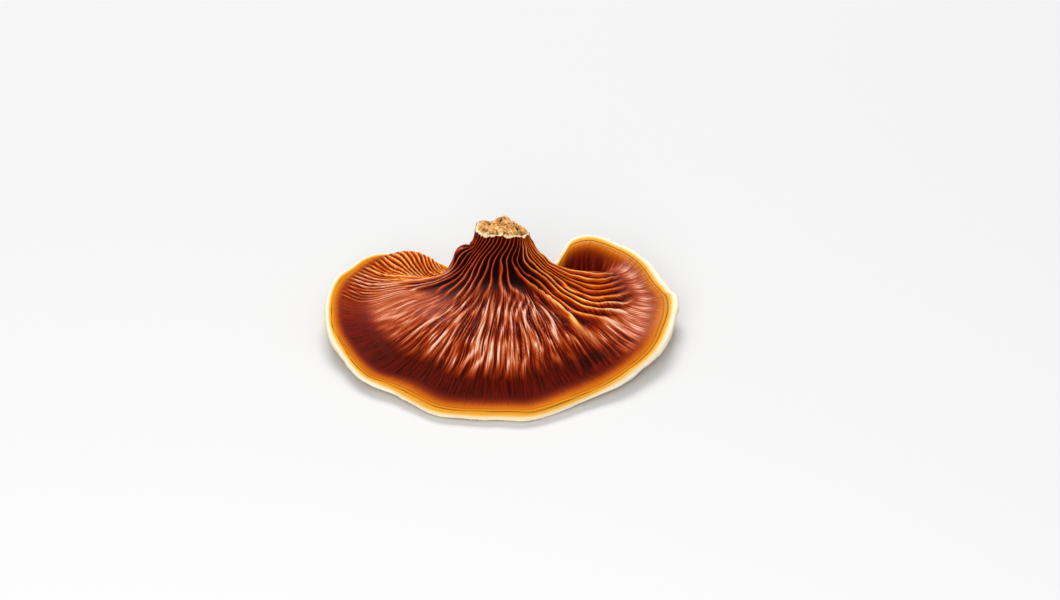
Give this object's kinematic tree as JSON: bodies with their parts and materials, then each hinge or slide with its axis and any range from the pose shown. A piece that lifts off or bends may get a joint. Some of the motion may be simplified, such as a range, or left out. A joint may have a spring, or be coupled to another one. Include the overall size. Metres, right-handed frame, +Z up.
{
  "type": "reishi mushroom",
  "caption": "Dried reishi mushroom lying on its underside: a ridged, varnished kidney-shaped cap with a pale rounded lip and the cut stub of its stem at the back.",
  "frame": {"origin": "the middle of the bounding box's bottom, on the flat of the underside, which is on the surface the mushroom rests on", "axes": "+X across the cap, to the right seen from its front edge; -Y towards the cap's front edge, +Y towards the stem and the two lobes; +Z up"},
  "size_m": [0.139, 0.1036, 0.0374],
  "materials": {
    "varnished_cap": "corky wood-like flesh under a glossy red-brown natural varnish, with an amber and cream lip, a tan torn cut on the stem and a matt cream pore face below"
  },
  "bodies": {
    "root": {"reishi_mushroom": "varnished_cap"}
  },
  "joints": []
}
